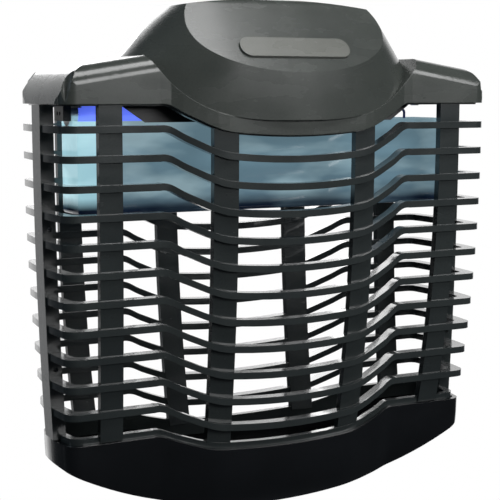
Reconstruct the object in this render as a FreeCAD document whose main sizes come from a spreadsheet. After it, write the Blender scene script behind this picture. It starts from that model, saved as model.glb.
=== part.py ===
import FreeCAD, Part
import math
import os

import Sketcher

os.makedirs("parts", exist_ok=True)

V = FreeCAD.Vector
ALONG_X = V(1, 0, 0)
ALONG_Y = V(0, 1, 0)
ALONG_Z = V(0, 0, 1)

doc = FreeCAD.newDocument("bug_zapper")

# ---------------------------------------------------------------- driving dimensions (mm)
# Heights are measured from the middle of the overall height; front is towards -Y.
DIMENSIONS = {
    # whole body
    "overall_height": 333,
    "body_width": 305.5,
    "flat_depth": 88,
    "bow_depth": 11,
    "end_bulge": 2,
    "corner_radius": 9,
    "curve_half_length": 91,
    "wall": 2.6,
    "fit_gap": 0.4,
    # guard bars and posts
    "first_bar_top": 87.1,
    "bar_pitch": 17.7,
    "bar_count": 11,
    "bar_height": 4.4,
    "bar_depth": 8,
    "top_dip": 19.8,
    "low_dip": 16.8,
    "rim_dip": 13,
    "rim_top": -111.1,
    "taper_width": 4.7,
    "taper_depth": 15.8,
    "taper_power": 2.3,
    "inner_post_width": 16,
    "outer_post_width": 15,
    "post_depth": 5,
    "post_setback": 1.6,
    "inner_post_x": 50,
    "outer_post_x": 122.5,
    "end_post_half": 8,
    "rail_depth": 4.5,
    # hood
    "hood_edge": 99.8,
    "wing_end_top": 120.4,
    "wing_root_top": 130.5,
    "wing_fillet": 11,
    "wing_end_round": 25,
    "wing_end_reach": 0.5,
    "scoop_foot_radius": 0.4,
    "scoop_radius": 7.5,
    "pod_foot": 86,
    "pod_base_half_width": 136,
    "pod_top_half_width": 61,
    "pod_half_depth": 58.5,
    "pod_base_power": 1.75,
    "pod_top_power": 2.7,
    "smile_middle": 89.5,
    "smile_rise": 30.7,
    "smile_reach": 100,
    "smile_power": 3.5,
    "ridge_half": 22,
    "ridge_round": 9,
    "crease_height": 119.5,
    "crease_reach": 58.5,
    "ridge_crown_radius": 450,
    "boss_radius": 4.2,
    # lamp bay
    "shroud_length": 268,
    "shroud_depth": 35,
    "shroud_top": 89.3,
    "shroud_bottom": 30.8,
    "shroud_wall": 1.6,
    "lamp_height": 94,
    "lamp_glass_radius": 7.75,
    "lamp_glass_length": 201.6,
    "lamp_cap_length": 5.2,
    "lamp_left_end": -135.8,
    "lamp_pin_radius": 1.2,
    "lamp_pin_length": 4,
    "lamp_pin_spacing": 5,
    "holder_thickness": 5,
    "holder_width": 18,
    "holder_height": 14.5,
    "grid_rod_radius": 1,
    "grid_end_x": 119,
    "bus_thickness": 1,
    "grid_low_height": 44,
    "grid_tier_step": 14,
    "grid_rod_spacing": 6.5,
    "insulator_thickness": 5,
    "insulator_height": 26,
    "strap_width": 10,
    "strap_thickness": 1,
    "shroud_corner": 3,
    "shroud_lip": 6,
    "notch_gap": 1.2,
    # deck and electrics
    "deck_underside": 104,
    "deck_thickness": 1.2,
    "deck_length": 284,
    "deck_depth": 62,
    "apron_thickness": 1,
    "board_length": 96,
    "board_depth": 32,
    "board_thickness": 1.6,
    "standoff_height": 6,
    "standoff_radius": 3,
    "board_hole_radius": 1.6,
    "transformer_length": 40,
    "transformer_depth": 26,
    "transformer_height": 34,
    "choke_length": 44,
    "choke_depth": 24,
    "choke_height": 28,
    "starter_radius": 10.7,
    "starter_length": 30,
    "capacitor_radius": 4.5,
    "capacitor_height": 13,
    "diode_radius": 1.5,
    "diode_length": 6,
    "resistor_radius": 2,
    "resistor_length": 10,
    "fuse_radius": 2.6,
    "fuse_length": 20,
    "terminal_length": 14,
    "terminal_depth": 24,
    "terminal_height": 12,
    "socket_depth": 3,
    "reflector_thickness": 0.8,
    "starter_lift": 0.6,
    "lead_clearance": 1.3,
    "pin_clearance": 0.1,
    "lead_radius": 0.9,
    # fasteners, badge, hanger
    "screw_radius": 1.5,
    "screw_head_radius": 3,
    "screw_head_height": 2.2,
    "screw_length": 14,
    "small_screw_radius": 1,
    "small_head_radius": 2,
    "small_head_height": 1.4,
    "small_screw_length": 6,
    "badge_length": 78,
    "badge_width": 15,
    "badge_thickness": 1.4,
    "bail_wire_radius": 1.6,
    "bail_half_width": 27.5,
    "bail_length": 36,
    "bail_recess_half": 30,
    "bail_fold_angle": 28,
    "gland_radius": 5.5,
    "gland_bore_radius": 3.6,
    "gland_x": 107,
    "gland_z": 112,
    # tray
    "tray_floor_radius": 300,
    "tray_wall": 2.6,
}

sheet = doc.addObject("Spreadsheet::Sheet", "dims")
for row, (name, value) in enumerate(DIMENSIONS.items(), start=1):
    sheet.set("A%d" % row, name)
    sheet.set("B%d" % row, str(value))
    sheet.setAlias("B%d" % row, name)
doc.recompute()


def size(name):
    return float(sheet.get(name))


nodes = []


def node(thing, label, place=None):
    """Register a document object as one named sub-part."""
    thing.Label = label
    if place is not None:
        thing.Placement = place
    nodes.append(thing)
    return thing


def shape_node(label, shape, place=None):
    thing = doc.addObject("Part::Feature", label)
    thing.Shape = shape
    return node(thing, label, place if place is not None else FreeCAD.Placement())


def at(x, y, z, axis=ALONG_Z, angle=0):
    return FreeCAD.Placement(V(x, y, z), FreeCAD.Rotation(axis, angle))


# ---------------------------------------------------------------- parametric helpers
def bind(thing, prop, expression):
    thing.setExpression(prop, expression)


def box(label, length, width, height, place):
    """Part box whose three sizes are sheet expressions."""
    thing = doc.addObject("Part::Box", label)
    bind(thing, "Length", length)
    bind(thing, "Width", width)
    bind(thing, "Height", height)
    thing.Placement = place
    return thing


def cylinder(label, radius, height, place):
    thing = doc.addObject("Part::Cylinder", label)
    bind(thing, "Radius", radius)
    bind(thing, "Height", height)
    thing.Placement = place
    return thing


def compound(label, links):
    thing = doc.addObject("Part::Compound", label)
    thing.Links = links
    return node(thing, label)


def fuse(label, links):
    thing = doc.addObject("Part::MultiFuse", label)
    thing.Shapes = links
    return thing


def cut(label, base, tool):
    thing = doc.addObject("Part::Cut", label)
    thing.Base = base
    thing.Tool = tool
    return thing


ORIGIN_PLANE = {"XY": 3, "XZ": 4, "YZ": 5}


def new_body(label):
    return doc.addObject("PartDesign::Body", label)


def new_sketch(body, plane, label):
    sketch = body.newObject("Sketcher::SketchObject", label)
    support = body.Origin.OriginFeatures[ORIGIN_PLANE[plane]]
    sketch.AttachmentSupport = (support, [""])
    sketch.MapMode = "FlatFace"
    return sketch


def centred_rectangle(sketch, width, height):
    """Rectangle centred on the sketch origin, both sizes bound to expressions."""
    corners = [V(-10, -5, 0), V(10, -5, 0), V(10, 5, 0), V(-10, 5, 0)]
    first = sketch.GeometryCount
    for i in range(4):
        sketch.addGeometry(Part.LineSegment(corners[i], corners[(i + 1) % 4]), False)
    for i in range(4):
        here = first + i
        following = first + (i + 1) % 4
        sketch.addConstraint(Sketcher.Constraint("Coincident", here, 2, following, 1))
    sketch.addConstraint(Sketcher.Constraint("Horizontal", first))
    sketch.addConstraint(Sketcher.Constraint("Horizontal", first + 2))
    sketch.addConstraint(Sketcher.Constraint("Vertical", first + 1))
    sketch.addConstraint(Sketcher.Constraint("Vertical", first + 3))
    sketch.addConstraint(Sketcher.Constraint("Symmetric", first, 1, first + 2, 1, -1, 1))
    wide = sketch.addConstraint(Sketcher.Constraint("DistanceX", first, 1, first, 2, 20))
    high = sketch.addConstraint(Sketcher.Constraint("DistanceY", first + 1, 1, first + 1, 2, 10))
    bind(sketch, "Constraints[%d]" % wide, width)
    bind(sketch, "Constraints[%d]" % high, height)


def circle(sketch, x, y, radius):
    """Circle at a fixed place with its radius bound to an expression."""
    index = sketch.addGeometry(Part.Circle(V(x, y, 0), ALONG_Z, 2), False)
    for kind, value in (("DistanceX", x), ("DistanceY", y)):
        if abs(value) < 1e-6:
            other = -2 if kind == "DistanceX" else -1
            sketch.addConstraint(Sketcher.Constraint("PointOnObject", index, 3, other))
        else:
            sketch.addConstraint(Sketcher.Constraint(kind, -1, 1, index, 3, value))
    bound = sketch.addConstraint(Sketcher.Constraint("Radius", index, 2))
    bind(sketch, "Constraints[%d]" % bound, radius)


def pad(body, sketch, length, label):
    feature = body.newObject("PartDesign::Pad", label)
    feature.Profile = sketch
    bind(feature, "Length", length)
    sketch.Visibility = False
    return feature


def pocket_all(body, sketch, label, upwards=False):
    feature = body.newObject("PartDesign::Pocket", label)
    feature.Profile = sketch
    feature.Type = 1
    feature.Reversed = upwards
    sketch.Visibility = False
    return feature


def plate(label, length, depth, thickness, holes, place):
    """Flat rectangular body with round through holes [(x, y, radius expression)]."""
    body = new_body(label)
    outline = new_sketch(body, "XY", label + "_outline")
    centred_rectangle(outline, length, depth)
    pad(body, outline, thickness, label + "_pad")
    if holes:
        drilled = new_sketch(body, "XY", label + "_holes")
        for x, y, radius in holes:
            circle(drilled, x, y, radius)
        pocket_all(body, drilled, label + "_pocket", upwards=True)
    return node(body, label, place)


# ---------------------------------------------------------------- shared curves of the body
half_width = size("body_width") / 2
half_depth = size("flat_depth") / 2
curve_half = size("curve_half_length")
bulge = size("end_bulge")
corner = size("corner_radius")
FAR = 220


def curve_share(x):
    """Share (0 to 1) of the bow and of the dip reached at a distance x from the middle."""
    reach = abs(x) / curve_half
    if reach >= 1:
        return 0
    ramp = min(1, (1 - reach) * 2)
    smooth = ramp * ramp * (3 - 2 * ramp)
    start = min(1, (1 - reach) * 6)
    ease = start * start * (3 - 2 * start)
    return ease * (0.5 * smooth + 0.5 * (1 - reach * reach))


def curve_stations(count=26):
    return [-curve_half + 2 * curve_half * i / count for i in range(count + 1)]


def spline(points):
    curve = Part.BSplineCurve()
    curve.interpolate(points)
    return curve.toShape()


def line(a, b):
    return Part.LineSegment(a, b).toShape()


def arc(a, b, c):
    return Part.Arc(a, b, c).toShape()


def body_size(z):
    """Half width and half depth of the flats at a height: the body narrows downwards."""
    drop = (size("first_bar_top") - z) / (size("first_bar_top") - size("rim_top"))
    share = max(0, drop) ** size("taper_power")
    return (half_width - size("taper_width") * share,
            half_depth - size("taper_depth") * share)


def front_edges(wide, deep, radius, z, bow):
    """Edges of the front half of the plan, from the left seam round to the right seam."""
    bend = radius * (1 - math.sqrt(0.5))
    left = [
        arc(V(-wide - bulge, 0, z),
            V(-wide - bulge * 0.75, -(deep - radius) / 2, z),
            V(-wide, -deep + radius, z)),
        arc(V(-wide, -deep + radius, z), V(-wide + bend, -deep + bend, z), V(-wide + radius, -deep, z)),
        line(V(-wide + radius, -deep, z), V(-curve_half, -deep, z)),
    ]
    middle = spline([V(x, -deep - bow * curve_share(x), z) for x in curve_stations()])
    right = [edge.mirror(V(0, 0, 0), ALONG_X) for edge in left]
    return left, middle, right


def front_wire(wide, deep, radius, z, bow):
    left, middle, right = front_edges(wide, deep, radius, z, bow)
    return Part.Wire(Part.__sortEdges__(left + [middle] + right))


def plan_face(wide, deep, radius, z, bow):
    """Full plan outline: the front half and its mirror image behind."""
    front = front_wire(wide, deep, radius, z, bow)
    back = front.mirror(V(0, 0, 0), ALONG_Y)
    return Part.Face(Part.Wire(Part.__sortEdges__(front.Edges + back.Edges)))


def plan_wire(wide, deep, radius, z, bow):
    return plan_face(wide, deep, radius, z, bow).OuterWire


def half_ring(wide, deep, thickness, low, high, bow):
    """Front half of a vertical wall of even depth that follows the plan."""
    outer = front_wire(wide, deep, corner, low, bow)
    inner = front_wire(wide - thickness, deep - thickness, corner - thickness / 2, low, bow)
    joins = [line(V(side * (wide + bulge), 0, low), V(side * (wide + bulge - thickness), 0, low))
             for side in (-1, 1)]
    face = Part.Face(Part.Wire(Part.__sortEdges__(outer.Edges + inner.Edges + joins)))
    return face.extrude(V(0, 0, high - low))


def dipped_line(height, dip):
    """Edges of a level line that dips in the middle, drawn in the XZ plane."""
    return [
        line(V(-FAR, 0, height), V(-curve_half, 0, height)),
        spline([V(x, 0, height - dip * curve_share(x)) for x in curve_stations()]),
        line(V(curve_half, 0, height), V(FAR, 0, height)),
    ]


def dipped_slab(low, high, low_dip, high_dip, near=-FAR / 2, far=FAR / 2):
    """Slab between two dipping level lines."""
    edges = dipped_line(high, high_dip) + dipped_line(low, low_dip)
    edges += [line(V(side * FAR, 0, low), V(side * FAR, 0, high)) for side in (-1, 1)]
    face = Part.Face(Part.Wire(Part.__sortEdges__(edges)))
    face.translate(V(0, near, 0))
    return face.extrude(V(0, far - near, 0))


def block(x0, x1, y0, y1, z0, z1):
    return Part.makeBox(x1 - x0, y1 - y0, z1 - z0, V(x0, y0, z0))


def rod(x, y, z, radius, length, axis):
    return Part.makeCylinder(radius, length, V(x, y, z), axis)


SCOOP_FOOT_INSET = 1.5
SCOOP_LEAN_X = 3.5
SCOOP_LEAN_Y = 4.5
SCOOP_OVERRUN = 8


def corner_scoops(extra):
    """Tapering hollows in the four upright corners of the hood's wings."""
    cones = []
    rise_z = size("wing_end_top") - size("hood_edge") + SCOOP_OVERRUN
    for sx in (-1, 1):
        for sy in (-1, 1):
            foot = V(sx * (half_width - SCOOP_FOOT_INSET), sy * (half_depth - SCOOP_FOOT_INSET),
                     size("hood_edge") - 1)
            rise = V(-sx * SCOOP_LEAN_X, -sy * SCOOP_LEAN_Y, rise_z)
            cones.append(Part.makeCone(size("scoop_foot_radius") + extra, size("scoop_radius") + extra,
                                       rise.Length, foot, rise))
    return Part.makeCompound(cones)


top = size("overall_height") / 2
HOOD_END = half_width + bulge


def between(start, end, share):
    return size(start) * (1 - share) + size(end) * share


def roof_height(x):
    """Height of the wing roof: level over the bowed part, then sloping down to the end."""
    run = max(0, abs(x) - curve_half) / (HOOD_END - curve_half)
    return between("wing_root_top", "wing_end_top", run)


def end_rounding(side, inset):
    """What the rounding of one upper end of the hood takes away."""
    end = half_width + size("wing_end_reach") - inset
    radius = size("wing_end_round") - inset
    bend = radius * (1 - math.sqrt(0.5))
    high = roof_height(end - radius) - inset
    ceiling = top - 1
    near = V(side * (end - radius), -FAR / 2, high)
    far = V(side * (HOOD_END + 1), -FAR / 2, high - radius)
    edges = [arc(near, V(side * (end - bend), -FAR / 2, high - bend), V(side * end, -FAR / 2, high - radius)),
             line(V(side * end, -FAR / 2, high - radius), far),
             line(far, V(far.x, far.y, ceiling)),
             line(V(far.x, far.y, ceiling), V(near.x, near.y, ceiling)),
             line(V(near.x, near.y, ceiling), near)]
    return Part.Face(Part.Wire(Part.__sortEdges__(edges))).extrude(V(0, FAR, 0))


# ---------------------------------------------------------------- guard cages
bar_depth = size("bar_depth")
bar_height = size("bar_height")
bar_tops = [size("first_bar_top") - size("bar_pitch") * i for i in range(int(size("bar_count")))]
rim_top = size("rim_top")
hood_edge = size("hood_edge")
skin = size("wall") + size("fit_gap")
setback = size("post_setback")
post_depth = size("post_depth")
rail_depth = size("rail_depth")


def bar(top):
    share = (size("first_bar_top") - top) / (size("first_bar_top") - rim_top)
    dip = size("top_dip") + (size("low_dip") - size("top_dip")) * share
    wide, deep = body_size(top - bar_height / 2)
    ring = half_ring(wide, deep, bar_depth, top - bar_height - dip - 2, top + 2, size("bow_depth"))
    return ring.common(dipped_slab(top - bar_height, top, dip, dip, far=1))


def loft_post(section, low, high, count=6):
    """Loft a post through sections taken at even heights."""
    wires = []
    for i in range(count + 1):
        z = low + (high - low) * i / count
        points = section(z)
        wires.append(Part.makePolygon(points + [points[0]]))
    return Part.makeLoft(wires, True, False)


def front_post(x, width, low, high):
    """Post that follows the front of the body, set back behind the bar faces."""
    half = width / 2

    def section(z):
        wide, deep = body_size(z)
        shift = x * (wide / half_width)
        xs = (shift - half, shift + half)
        outer = [deep + size("bow_depth") * curve_share(place) - setback for place in xs]
        return [V(xs[0], -outer[0], z), V(xs[1], -outer[1], z),
                V(xs[1], -outer[1] + post_depth, z), V(xs[0], -outer[0] + post_depth, z)]

    return loft_post(section, low, high)


END_POST_PROUD = 0.8
END_POST_DEPTH = 8


def end_post(side, low, high):
    """Post on the seam in the middle of one end."""

    def section(z):
        wide, deep = body_size(z)
        outer = side * (wide + bulge + END_POST_PROUD)
        inner = side * (wide + bulge - END_POST_DEPTH)
        reach = -size("end_post_half")
        return [V(outer, 0, z), V(outer, reach, z), V(inner, reach, z), V(inner, 0, z)]

    return loft_post(section, low, high)


POST_TOP = hood_edge + 5
POST_FOOT = rim_top + 0.6
RAIL_TOP = rim_top + 4
RAIL_FOOT = rim_top - 7
TAB_HALF = 7
TAB_THICKNESS = 3
TAB_X = half_width - 17
TAB_Y = 20

solids = [bar(top) for top in bar_tops]
for side in (-1, 1):
    solids.append(front_post(side * size("outer_post_x"), size("outer_post_width"), POST_FOOT, POST_TOP))
    dip_here = curve_share(size("inner_post_x"))
    solids.append(front_post(side * size("inner_post_x"), size("inner_post_width"),
                             POST_FOOT - size("rim_dip") * dip_here,
                             POST_TOP - size("top_dip") * dip_here))
    solids.append(end_post(side, POST_FOOT, POST_TOP))
    solids.append(block(min(side * (TAB_X - TAB_HALF), side * (half_width - skin - 1)),
                        max(side * (TAB_X - TAB_HALF), side * (half_width - skin - 1)),
                        -TAB_Y - TAB_HALF, -TAB_Y + TAB_HALF,
                        hood_edge, hood_edge + TAB_THICKNESS))
top_rail = half_ring(half_width - skin, half_depth - skin, rail_depth,
                     hood_edge - size("top_dip") - 4, hood_edge + 8, size("bow_depth"))
solids.append(top_rail.common(dipped_slab(hood_edge - 1, hood_edge + 6,
                                          size("top_dip"), size("top_dip"), far=1)))
rim_wide, rim_deep = body_size(rim_top)
low_rail = half_ring(rim_wide - skin, rim_deep - skin, rail_depth,
                     RAIL_FOOT - size("rim_dip") - 2, RAIL_TOP + 2, size("bow_depth"))
solids.append(low_rail.common(dipped_slab(RAIL_FOOT, RAIL_TOP,
                                          size("rim_dip"), size("rim_dip"), far=1)))
cage = solids[0].fuse(solids[1:])

# Above the hood's lower edge the cage keeps clear of the hood's wall, ends and corner hollows.
clear_low = hood_edge - size("top_dip") - 1
hood_band = block(-FAR, FAR, -FAR, FAR, clear_low, hood_edge + FAR)
inner_plan = plan_face(half_width - skin, half_depth - skin, corner - skin / 2, clear_low - 1, size("bow_depth"))
hood_band = hood_band.cut(inner_plan.extrude(V(0, 0, 2 * FAR)))
above_hood_edge = dipped_slab(hood_edge - size("fit_gap"), hood_edge + FAR / 2, size("top_dip"), 0)
cage = cage.cut(hood_band.common(above_hood_edge)).cut(corner_scoops(skin))
cage = cage.cut(end_rounding(-1, skin)).cut(end_rounding(1, skin))

# Seam screws sit in the gaps below the fourth and the ninth bar.
SEAM_SCREW_BARS = (3, 8)
gap_middle = (size("bar_pitch") - bar_height) / 2
seam_places = []
for i in SEAM_SCREW_BARS:
    z = bar_tops[i] - bar_height - gap_middle
    for side in (-1, 1):
        wide, deep = body_size(z)
        seam_places.append((side * (wide + bulge - END_POST_DEPTH / 2), z))
drills = [rod(x, -FAR / 2, z, size("screw_radius"), FAR, ALONG_Y) for x, z in seam_places]
tab_places = [(sx * TAB_X, sy * TAB_Y) for sx in (-1, 1) for sy in (-1, 1)]
drills += [rod(x, y, hood_edge - 1, size("screw_radius"), TAB_THICKNESS + 2, ALONG_Z)
           for x, y in tab_places if y < 0]
front_half = cage.common(block(-FAR, FAR, -FAR, 0, -FAR, FAR)).cut(Part.makeCompound(drills))
shape_node("front_cage", front_half)
shape_node("rear_cage", front_half.mirror(V(0, 0, 0), ALONG_Y))

# ---------------------------------------------------------------- hood shells
wall = size("wall")


def oblong_wire(wide, deep, power, z):
    """Closed rounded outline of the hood's central pod at one height."""
    points = []
    stations = 40
    for i in range(stations):
        angle = 2 * math.pi * (i + 0.5) / stations
        c = math.cos(angle)
        s = math.sin(angle)
        points.append(V(wide * math.copysign(abs(c) ** (2 / power), c),
                        deep * math.copysign(abs(s) ** (2 / power), s), z))
    curve = Part.BSplineCurve()
    curve.interpolate(points, PeriodicFlag=True)
    return Part.Wire([curve.toShape()])


POD_SHARES = (0, 0.3, 0.55, 0.75, 0.86, 0.94, 1)
POD_OVERRUN = 6
POD_SHOULDER = 8
POD_SHOULDER_POWER = 12


def pod_body(inset):
    """Flared column that narrows upwards from a pointed oval to a squarer one."""
    wires = []
    for share in POD_SHARES:
        z = size("pod_foot") * (1 - share) + (top + POD_OVERRUN) * share
        wide = between("pod_base_half_width", "pod_top_half_width", share)
        wide -= POD_SHOULDER * share ** POD_SHOULDER_POWER
        wires.append(oblong_wire(wide - inset, size("pod_half_depth") - inset,
                                 between("pod_base_power", "pod_top_power", share), z))
    return Part.makeLoft(wires, True, False)


def pod(inset):
    """Central pod: flared column cut by a crowned ridge and two slanted faces."""
    foot = size("pod_foot")
    ridge = size("ridge_half")
    slope = (top - size("crease_height")) / (size("crease_reach") - ridge)
    angle = math.atan(slope)
    slant_inset = inset * math.sqrt(1 + slope * slope)
    high = top - inset
    near_ridge = ridge - (slant_inset - inset) / slope
    low_reach = near_ridge + (high - foot + 10) / slope
    radius = size("ridge_round") - inset
    run = radius * math.tan(angle / 2)
    edges = [line(V(-FAR, -low_reach, foot - 10), V(-FAR, low_reach, foot - 10)),
             line(V(-FAR, run - near_ridge, high), V(-FAR, near_ridge - run, high))]
    for side in (-1, 1):
        level = V(-FAR, side * (near_ridge - run), high)
        middle = V(-FAR, side * (near_ridge - run + radius * math.sin(angle / 2)),
                   high - radius * (1 - math.cos(angle / 2)))
        slanted = V(-FAR, side * (near_ridge + run * math.cos(angle)), high - run * math.sin(angle))
        edges.append(arc(level, middle, slanted))
        edges.append(line(slanted, V(-FAR, side * low_reach, foot - 10)))
    roof = Part.Face(Part.Wire(Part.__sortEdges__(edges))).extrude(V(2 * FAR, 0, 0))
    crown_radius = size("ridge_crown_radius")
    crown = rod(0, -FAR / 2, high - crown_radius, crown_radius, FAR, ALONG_Y)
    return pod_body(inset).common(roof).common(crown)


def arch_wire(x, deep, radius, low, high):
    """Arch-shaped section of the lower hood: upright sides and a rounded roof."""
    bend = radius * (1 - math.sqrt(0.5))
    edges = [line(V(x, deep, low), V(x, -deep, low))]
    for side in (-1, 1):
        edges.append(line(V(x, side * deep, low), V(x, side * deep, high - radius)))
        edges.append(arc(V(x, side * deep, high - radius),
                         V(x, side * (deep - bend), high - bend),
                         V(x, side * (deep - radius), high)))
    edges.append(line(V(x, -deep + radius, high), V(x, deep - radius, high)))
    return Part.Wire(Part.__sortEdges__(edges))


def above_smile(inset):
    """Space above the curved line where the pod meets the lower hood."""
    reach = size("smile_reach")
    points = []
    count = 20
    for i in range(count + 1):
        x = -reach + 2 * reach * i / count
        rise = size("smile_rise") * (abs(x) / curve_half) ** size("smile_power")
        points.append(V(x, -FAR / 2, size("smile_middle") + rise - inset))
    high = top + 10
    edges = [spline(points),
             line(points[0], V(points[0].x, -FAR / 2, high)),
             line(points[-1], V(points[-1].x, -FAR / 2, high)),
             line(V(points[0].x, -FAR / 2, high), V(points[-1].x, -FAR / 2, high))]
    return Part.Face(Part.Wire(Part.__sortEdges__(edges))).extrude(V(0, FAR, 0))


HOOD_LOW = hood_edge - size("top_dip") - 20
END_SPARE = 4
CORNER_SPARE = 5


def wing_end_cutter(side, inset):
    """What lies outside the plan at one end of the hood, and outside its rounded end."""
    start = half_width - corner - CORNER_SPARE
    plan = plan_face(half_width - inset, half_depth - inset, corner - inset / 2,
                     HOOD_LOW - 1, size("bow_depth"))
    outside_plan = block(min(side * start, side * FAR), max(side * start, side * FAR),
                         -FAR, FAR, HOOD_LOW - 1, top).cut(plan.extrude(V(0, 0, FAR)))
    return outside_plan.fuse(end_rounding(side, inset))


def lower_hood(inset):
    """Wings and the valance between them, before they are cut back along the pod."""
    ends = HOOD_END + END_SPARE
    wires = []
    for x in [-ends] + curve_stations() + [ends]:
        deep = half_depth + size("bow_depth") * curve_share(x) - inset
        wires.append(arch_wire(x, deep, size("wing_fillet") - inset, HOOD_LOW, roof_height(x) - inset))
    body = Part.makeLoft(wires, True, True)
    return body.cut(wing_end_cutter(-1, inset)).cut(wing_end_cutter(1, inset))


def above_edge(drop):
    """Everything above the hood's dipping lower edge, lowered by a drop."""
    return dipped_slab(hood_edge - drop, top + 40, size("top_dip"), 0)


# The hanging bail turns on the middle of the ridge and folds back into a sloping recess.
WIRE = size("bail_wire_radius")
BAIL_HALF = size("bail_half_width")
RECESS_HALF = size("bail_recess_half")
FOLD_ANGLE = size("bail_fold_angle")
pivot = V(0, 0, top - WIRE - 1)
fold = FreeCAD.Placement(pivot, FreeCAD.Rotation(ALONG_X, -FOLD_ANGLE))
RECESS_LONG = size("bail_length") + WIRE + 2


def recess_block(grow):
    """Box aligned with the folded bail, from just in front of its pivot to past its end."""
    made = block(-RECESS_HALF - grow, RECESS_HALF + grow, -WIRE - 1.2 - grow, RECESS_LONG + grow,
                 -WIRE - 0.6 - grow, FAR)
    made.Placement = fold.multiply(made.Placement)
    return made.common(block(-FAR, FAR, -WIRE - 1.2 - grow, FAR, -FAR, FAR))


recess = recess_block(0)
recess_keep = recess_block(wall)

inner_pod = pod(wall)
inner_plan = plan_face(half_width - wall, half_depth - wall, corner - wall / 2, HOOD_LOW, size("bow_depth"))
cavity = inner_pod.common(above_smile(-wall))
cavity = cavity.fuse([inner_pod.common(inner_plan.extrude(V(0, 0, FAR))),
                      lower_hood(wall).cut(above_smile(wall))])
outside = pod(0).common(above_smile(0)).fuse(lower_hood(0).cut(above_smile(0)))
outside = outside.common(above_edge(0)).cut(corner_scoops(0))
inside = cavity.common(above_edge(5)).cut(recess_keep).cut(corner_scoops(wall))
shell = outside.cut(inside).cut(recess)

# Screw bosses are cylinders kept inside the outer surface.
HOOD_SCREWS = [(-119, 114), (119, 114), (-56, 150), (56, 150)]
DECK_SCREWS = [(sx * 100, sy * 23) for sx in (-1, 1) for sy in (-1, 1)]
boss_radius = size("boss_radius")
deck_top = size("deck_underside") + size("deck_thickness")
tab_top = hood_edge + TAB_THICKNESS
screw_radius = size("screw_radius")
head_radius = size("screw_head_radius")
head_height = size("screw_head_height")
HEAD_SEAT = 5
bosses = [rod(x, -FAR / 2, z, boss_radius, FAR, ALONG_Y) for x, z in HOOD_SCREWS]
bosses += [rod(x, y, deck_top, boss_radius, FAR, ALONG_Z) for x, y in DECK_SCREWS]
bosses += [rod(x, y, tab_top, boss_radius, FAR, ALONG_Z) for x, y in tab_places]
kept = outside.common(Part.makeCompound(bosses)).cut(recess_keep)
hood = shell.fuse(kept.Solids)
THREAD_DEPTH = 12
drills = [rod(x, -THREAD_DEPTH, z, screw_radius, THREAD_DEPTH + HEAD_SEAT, ALONG_Y) for x, z in HOOD_SCREWS]
drills += [rod(x, HEAD_SEAT, z, head_radius + 0.3, FAR, ALONG_Y) for x, z in HOOD_SCREWS]
drills += [rod(x, y, deck_top, screw_radius, THREAD_DEPTH, ALONG_Z) for x, y in DECK_SCREWS]
drills += [rod(x, y, tab_top, screw_radius, THREAD_DEPTH, ALONG_Z) for x, y in tab_places]
drills += [rod(-RECESS_HALF - wall - 1, pivot.y, pivot.z, WIRE + 0.1, 2 * (RECESS_HALF + wall + 1), ALONG_X)]
drills += [rod(size("gland_x"), size("ridge_half"), size("gland_z"),
               size("gland_radius") + 0.1, FAR, ALONG_Y)]
hood = hood.cut(Part.makeCompound(drills))

shape_node("hood_front_shell", hood.common(block(-FAR, FAR, -FAR, 0, -FAR, FAR)))
shape_node("hood_rear_shell", hood.common(block(-FAR, FAR, 0, FAR, -FAR, FAR)))


def screw(x, y, z, towards):
    """Screw with its head seated at the given point and its shank running along a direction."""
    head = Part.makeCylinder(head_radius, head_height, V(x, y, z) - towards * head_height, towards)
    shank = Part.makeCylinder(screw_radius - 0.1, size("screw_length") - head_height, V(x, y, z), towards)
    return head.fuse(shank)


shape_node("hood_screws", Part.makeCompound([screw(x, HEAD_SEAT, z, -ALONG_Y) for x, z in HOOD_SCREWS]))
shape_node("cage_screws", Part.makeCompound([screw(x, y, hood_edge, ALONG_Z) for x, y in tab_places]))
shape_node("seam_screws", Part.makeCompound(
    [screw(x, size("end_post_half"), z, -ALONG_Y) for x, z in seam_places]))

# Blank raised badge on the slanted front face.
badge = new_body("badge_plate")
badge_outline = new_sketch(badge, "XY", "badge_outline")
centred_rectangle(badge_outline, "dims.badge_length", "dims.badge_width")
badge_pad = pad(badge, badge_outline, "dims.badge_thickness", "badge_pad")
doc.recompute()
upright = ["Edge%d" % (i + 1) for i, edge in enumerate(badge_pad.Shape.Edges)
           if edge.BoundBox.ZLength > size("badge_thickness") / 2]
badge_round = badge.newObject("PartDesign::Fillet", "badge_round")
badge_round.Base = (badge_pad, upright)
bind(badge_round, "Radius", "dims.badge_width / 2 - 0.5")
BADGE_HEIGHT = 134.5
slope_run = size("crease_reach") - size("ridge_half")
slope_rise = top - size("crease_height")
slope_angle = math.degrees(math.atan2(slope_rise, slope_run))
badge_y = -size("ridge_half") - (top - BADGE_HEIGHT) * slope_run / slope_rise
node(badge, "badge_plate",
     FreeCAD.Placement(V(0, badge_y, BADGE_HEIGHT), FreeCAD.Rotation(ALONG_X, slope_angle)))

# Hanging bail: a bent wire folded down in the recess of the rear slope.
BAIL_BEND = 9


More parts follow.
